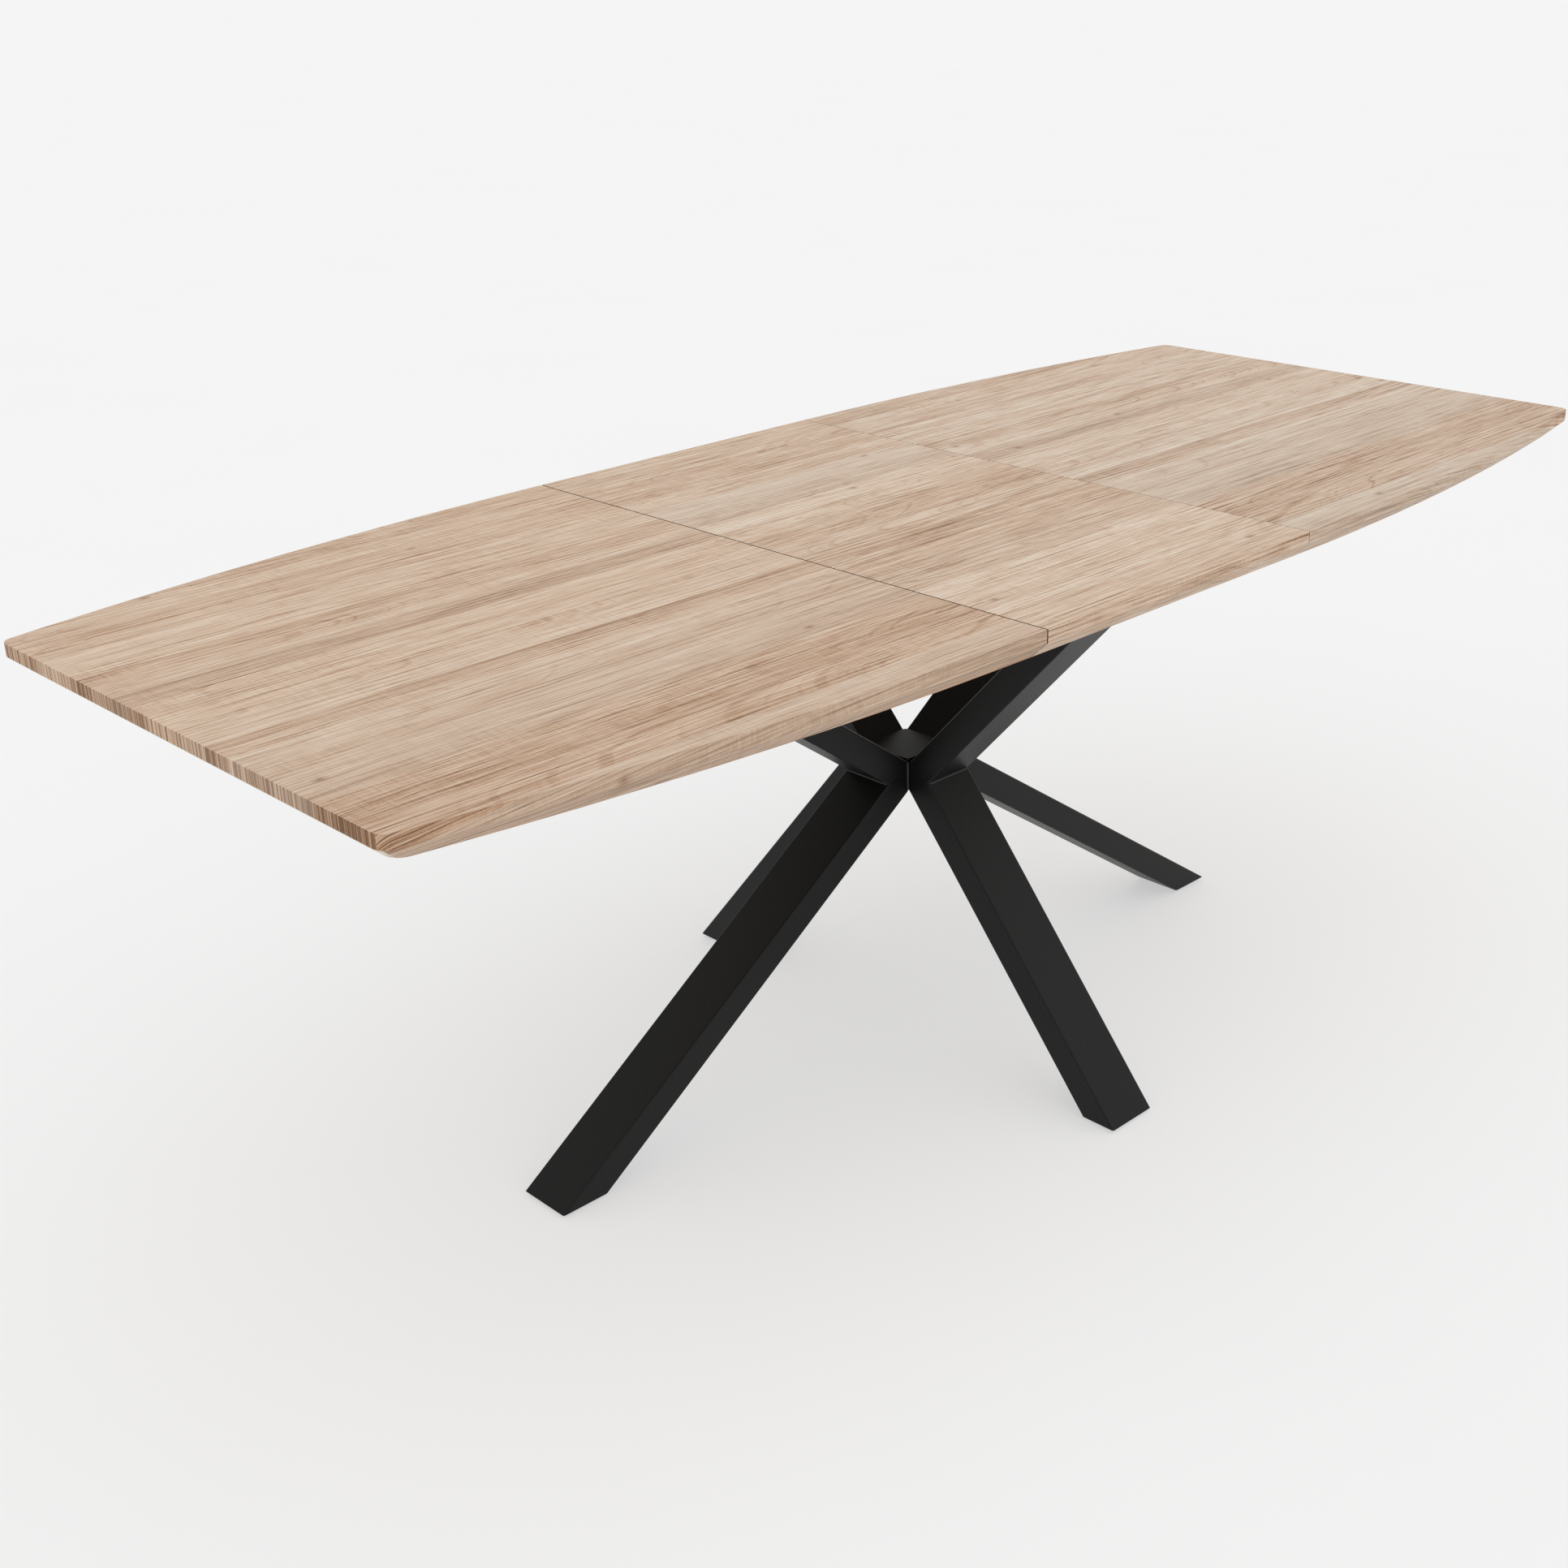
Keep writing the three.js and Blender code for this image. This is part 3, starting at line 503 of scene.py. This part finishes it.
def dress_all():
    """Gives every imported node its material. Returns the materials that the added pieces take."""
    black = powder_coat("black_powder_coat", srgb(9, 9, 9), srgb(14, 14, 13), 0.4)
    arm_x_painted_highlight = powder_coat("black_powder_coat_x_painted_highlight", srgb(9, 9, 9), srgb(14, 14, 13), 0.4, "Y")
    arm_y_painted_highlight = powder_coat("black_powder_coat_y_painted_highlight", srgb(9, 9, 9), srgb(14, 14, 13), 0.4, "X")
    arms = {"arm_left": arm_x_painted_highlight, "arm_right": arm_x_painted_highlight, "arm_front": arm_y_painted_highlight, "arm_back": arm_y_painted_highlight}
    frame_black = powder_coat("frame_powder_coat", srgb(26, 26, 26), srgb(36, 36, 35), 0.5)
    aluminium = brushed("anodised_aluminium", srgb(176, 178, 180), srgb(206, 208, 210), 0.3, 900.0)
    zinc = plated("zinc_plating")
    dark_nylon = moulded("black_nylon_moulded", srgb(20, 20, 20), srgb(30, 30, 30))
    pale_nylon = moulded("white_nylon_moulded", srgb(214, 211, 200), srgb(232, 230, 222))
    paints = {
        "black_steel": black,
        "frame_steel": frame_black,
        "slide_aluminium": aluminium,
        "zinc_steel": zinc,
        "black_nylon": dark_nylon,
        "white_nylon": pale_nylon,
    }
    oaks = {
        "left_leaf": oak("oak_left", 3.0, 0.0, (0.925, 0.893, 0.869), 0.2),
        "right_leaf": oak("oak_right", 3.0, 0.0, (0.942, 0.952, 0.967), 0.1),
        "middle_leaf": oak("oak_middle", 41.0, 0.047, (0.971, 0.979, 0.989), 0.04),
    }
    own = {**oaks, **arms}
    for name, part in cad.items():
        dress(name, own.get(name) or paints[part.data.materials[0].name])
    # Painted highlight: the weld beads carry the same black powder coat, drawn paler than on the tubes.
    paints["weld"] = powder_coat("black_powder_coat_weld_painted_highlight", srgb(44, 44, 43), srgb(60, 60, 58), 0.3)
    return paints


# ---- added pieces -------------------------------------------------------------------------------


def finished(name, made, paint, body):
    """Makes a bmesh a piece of the table that rides on a body."""
    bmesh.ops.recalc_face_normals(made, faces=made.faces)
    mesh = bpy.data.meshes.new(name)
    made.to_mesh(mesh)
    made.free()
    mesh.materials.append(paint)
    mesh.shade_smooth()
    piece = bpy.data.objects.new(name, mesh)
    scene.collection.objects.link(piece)
    split = piece.modifiers.new("keep_creases", "EDGE_SPLIT")
    split.split_angle = SHARP_EDGE
    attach(piece, body)


def skin(made, rings):
    """Joins closed rings of equal count into a tube and caps both ends."""
    rows = [[made.verts.new(point) for point in ring] for ring in rings]
    for row, after in zip(rows, rows[1:]):
        for i in range(len(row)):
            j = (i + 1) % len(row)
            made.faces.new((row[i], row[j], after[j], after[i]))
    made.faces.new(rows[0][::-1])
    made.faces.new(rows[-1])


BEAD_STEP = 0.0013  # spacing of the rings that model a bead's ripples
BEAD_RIPPLE = 0.0042  # length of one ripple
BEAD_SIDES = 10
CROSSING_BEAD = 0.0019  # radius of each kind of bead
HUB_BEAD = 0.0015
FLANGE_BEAD = 0.0017
RAIL_BEAD = 0.0017


def bead(made, start, end, radius, seed):
    """A weld bead along a line: ripples, a slightly uneven width, and rounded ends."""
    chosen = random.Random(seed)
    start, end = Vector(start), Vector(end)
    along = (end - start).normalized()
    side = along.orthogonal().normalized()
    up = along.cross(side)
    length = (end - start).length
    count = max(6, round(length / BEAD_STEP))
    drift = chosen.uniform(0, 6)
    rings = []
    for i in range(count + 1):
        run = length * i / count
        swell = 1 + 0.09 * math.sin(2 * math.pi * run / BEAD_RIPPLE + drift)
        swell += 0.06 * math.sin(run * 190 + drift) + chosen.uniform(-0.03, 0.03)
        from_end = min(run, length - run) / radius
        taper = math.sqrt(max(0.04, 1 - (1 - min(from_end, 1)) ** 2))
        size = radius * swell * taper
        middle = start + along * run
        ring = []
        for k in range(BEAD_SIDES):
            angle = 2 * math.pi * k / BEAD_SIDES
            ring.append(middle + (side * math.cos(angle) + up * math.sin(angle)) * size)
        rings.append(ring)
    skin(made, rings)


def turned(made, centre, profile, sides):
    """A round solid about a vertical axis, from (radius, height) points that run from bottom to top."""
    rings = []
    for radius, height in profile:
        ring = []
        for k in range(sides):
            angle = 2 * math.pi * k / sides
            place = Vector((radius * math.cos(angle), radius * math.sin(angle), height))
            ring.append(Vector(centre) + place)
        rings.append(ring)
    skin(made, rings)


# Each limb's side of the table: the direction it points out in, and the direction across it.
OUTWARD = {
    "right": (Vector((1, 0, 0)), Vector((0, 1, 0))),
    "back": (Vector((0, 1, 0)), Vector((1, 0, 0))),
    "left": (Vector((-1, 0, 0)), Vector((0, 1, 0))),
    "front": (Vector((0, -1, 0)), Vector((1, 0, 0))),
}


def reach_of(node, side):
    """Lowest and highest distance from the centre, along a side's outward direction."""
    out, _ = OUTWARD[side]
    low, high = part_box(node)
    a, b = low.dot(out), high.dot(out)
    return min(a, b), max(a, b)


SAME_LEVEL = 0.0002


def crossing(side):
    """Where the outer faces of an arm and a leg meet: distance out, and level."""
    out, _ = OUTWARD[side]
    part = cad[f"leg_{side}"]
    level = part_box(f"leg_{side}")[1].z
    top = [vertex.co for vertex in part.data.vertices if vertex.co.z > level - SAME_LEVEL]
    reach = max(point.dot(out) for point in top)
    return reach, level


TUBE_CORNER = 0.0025  # a bead stops where the tube's corner rounds away
HUB_BEAD_OUT = 0.0004  # how far a hub bead's centre stands off the hub's corner
BEAD_INSET = 0.004  # a bead stops this far from the end of its joint


def welds(paint):
    """The beads where each arm meets its leg, at the hub's corners, and along the arms' flanges."""
    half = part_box("hub_tube")[1].x
    made = bmesh.new()
    for index, side in enumerate(SIDES):
        out, across = OUTWARD[side]
        reach, level = crossing(side)
        middle = out * reach + Vector((0, 0, level))
        arm = across * (half - TUBE_CORNER)
        bead(made, middle - arm, middle + arm, CROSSING_BEAD, index)
    finished("crossing_welds", made, paint, "base")

    made = bmesh.new()
    low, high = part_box("hub_bottom_plate")[0].z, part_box("hub_top_plate")[1].z
    for index, (x, y) in enumerate([(1, 1), (-1, 1), (-1, -1), (1, -1)]):
        out = half + HUB_BEAD_OUT
        foot = Vector((x * out, y * out, low - BEAD_INSET / 2))
        bead(made, foot, (foot.x, foot.y, high - BEAD_INSET), HUB_BEAD, 10 + index)
    finished("hub_welds", made, paint, "base")

    made = bmesh.new()
    for index, side in enumerate(SIDES):
        out, across = OUTWARD[side]
        near, far = reach_of(f"arm_flange_{side}", side)
        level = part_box(f"arm_flange_{side}")[0].z
        for turn in (-1, 1):
            foot = across * (half * turn) + Vector((0, 0, level))
            start, end = foot + out * (near + BEAD_INSET), foot + out * (far - BEAD_INSET)
            bead(made, start, end, FLANGE_BEAD, 20 + index * 2 + turn)
    finished("flange_welds", made, paint, "base")


def rail_welds(paint):
    """Upright beads at the four corners of each cross rail, where it meets the side rails."""
    made = bmesh.new()
    for index, name in enumerate(("left", "centre", "right")):
        low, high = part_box(f"cross_rail_{name}")
        for x in (low.x, high.x):
            for y in (low.y, high.y):
                foot, head = (x, y, low.z + BEAD_INSET / 2), (x, y, high.z - BEAD_INSET / 2)
                bead(made, foot, head, RAIL_BEAD, 40 + index)
    finished("rail_welds", made, paint, "base")


# Outlines of round pieces: (radius, height) points, from bottom to top.
WASHER = [(0.0084, -0.0014), (0.0087, -0.0011), (0.0087, -0.0003), (0.0085, -0.0001)]
HEAD_BELOW = [(0.0012, -0.0009), (0.0014, -0.0013), (0.0024, -0.0013)]
HEAD_BELOW += [(0.0033, -0.001), (0.0037, -0.0004), (0.0037, 0.0002)]
HEAD_ABOVE = [(0.0035, 0.0), (0.0035, 0.0008), (0.003, 0.0014), (0.0018, 0.0018), (0.0014, 0.0013)]
WASHER_SIDES = 28
SCREW_SIDES = 18


def washers(paint):
    """Plain washers under the heads of the flange bolts."""
    made = bmesh.new()
    for side in SIDES:
        for index in (1, 2):
            low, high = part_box(f"flange_bolt_{side}_{index}")
            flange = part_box(f"arm_flange_{side}")[0].z
            middle = ((low.x + high.x) / 2, (low.y + high.y) / 2, flange)
            turned(made, middle, WASHER, WASHER_SIDES)
    finished("flange_washers", made, paint, "base")


SCREW_REACH = (0.505, 0.62, 0.735, 0.85, 0.915)  # screws of a runner, from the centre
SCREW_OFFSET = 0.0115  # and from the runner's middle line, to either side
RUNNER_FLANGE = 0.0027  # from the top of a runner down to the seat of its screws


def runner_screws(paint):
    """Low pan-head screws that hold each runner to its leaf, outside the channel."""
    for side, sign in (("left", -1), ("right", 1)):
        made = bmesh.new()
        for row in ("front", "back"):
            low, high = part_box(f"{side}_runner_{row}")
            line = (low.y + high.y) / 2
            underside = high.z - RUNNER_FLANGE
            for reach in SCREW_REACH:
                for offset in (-SCREW_OFFSET, SCREW_OFFSET):
                    turned(made, (sign * reach, line + offset, underside), HEAD_BELOW, SCREW_SIDES)
        finished(f"{side}_runner_screws", made, paint, f"{side}_top")


TRAY_SCREW_X = 0.0255  # over the centre rail, and clear of the pinion's teeth
TRAY_SCREW_Y = 0.0095  # between the two racks
TRAY_PLATE = 0.003


def tray_screws(paint):
    """Pan-head screws that hold the pinion's tray to the centre rail."""
    made = bmesh.new()
    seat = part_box("pinion_housing")[0].z + TRAY_PLATE
    for x in (-TRAY_SCREW_X, TRAY_SCREW_X):
        for y in (-TRAY_SCREW_Y, TRAY_SCREW_Y):
            turned(made, (x, y, seat), HEAD_ABOVE, SCREW_SIDES)
    finished("tray_screws", made, paint, "base")


# A cap from its inner end outwards: how far out of the rail, and how far in from the rail's faces.
CAP = ((0.0, 0.0004), (0.0018, 0.0004), (0.0028, 0.0014), (0.0028, 0.006), (0.0022, 0.0075))
CAP_CORNER = 0.003
CAP_CORNER_LEAST = 0.0008
CAP_QUARTERS = ((1, 1, 0), (-1, 1, 90), (-1, -1, 180), (1, -1, 270))


def end_caps(paint):
    """Push-in caps that close the open ends of the two side rails."""
    made = bmesh.new()
    for row in ("front", "back"):
        low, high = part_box(f"frame_rail_{row}")
        for x, sign in ((low.x, -1), (high.x, 1)):
            rings = []
            for out, inset in CAP:
                radius = max(CAP_CORNER - inset, CAP_CORNER_LEAST)
                half_y = (high.y - low.y) / 2 - inset - radius
                half_z = (high.z - low.z) / 2 - inset - radius
                ring = []
                for cy, cz, start in CAP_QUARTERS:
                    for k in range(5):
                        angle = math.radians(start + 22.5 * k)
                        y = (low.y + high.y) / 2 + cy * half_y + radius * math.cos(angle)
                        z = (low.z + high.z) / 2 + cz * half_z + radius * math.sin(angle)
                        ring.append(Vector((x + sign * out, y, z)))
                rings.append(ring)
            skin(made, rings)
    finished("rail_end_caps", made, paint, "base")


VENT_HOLE = (-0.2395, 0.5917)  # where it is along Y and Z
VENT_RIM = ((-0.0004, 0.0004), (0.00015, 0.0016), (0.00005, 0.0021))  # (height off the face, radius)
VENT_SIDES = 16


def vent_hole(paint):
    """The small vent hole near the top of the front arm, on its right side face."""
    made = bmesh.new()
    centre = Vector((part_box("arm_front")[1].x, *VENT_HOLE))
    angles = [2 * math.pi * k / VENT_SIDES for k in range(VENT_SIDES)]
    rings = []
    for out, radius in VENT_RIM:
        rim = [Vector((out, radius * math.cos(angle), radius * math.sin(angle))) for angle in angles]
        rings.append([centre + point for point in rim])
    skin(made, rings)
    finished("vent_hole", made, paint, "base")


camera()
surroundings()
floor()
paints = dress_all()
welds(paints["weld"])
rail_welds(paints["frame_steel"])
washers(paints["zinc_steel"])
runner_screws(paints["zinc_steel"])
tray_screws(paints["zinc_steel"])
end_caps(paints["black_nylon"])
vent_hole(paints["black_nylon"])
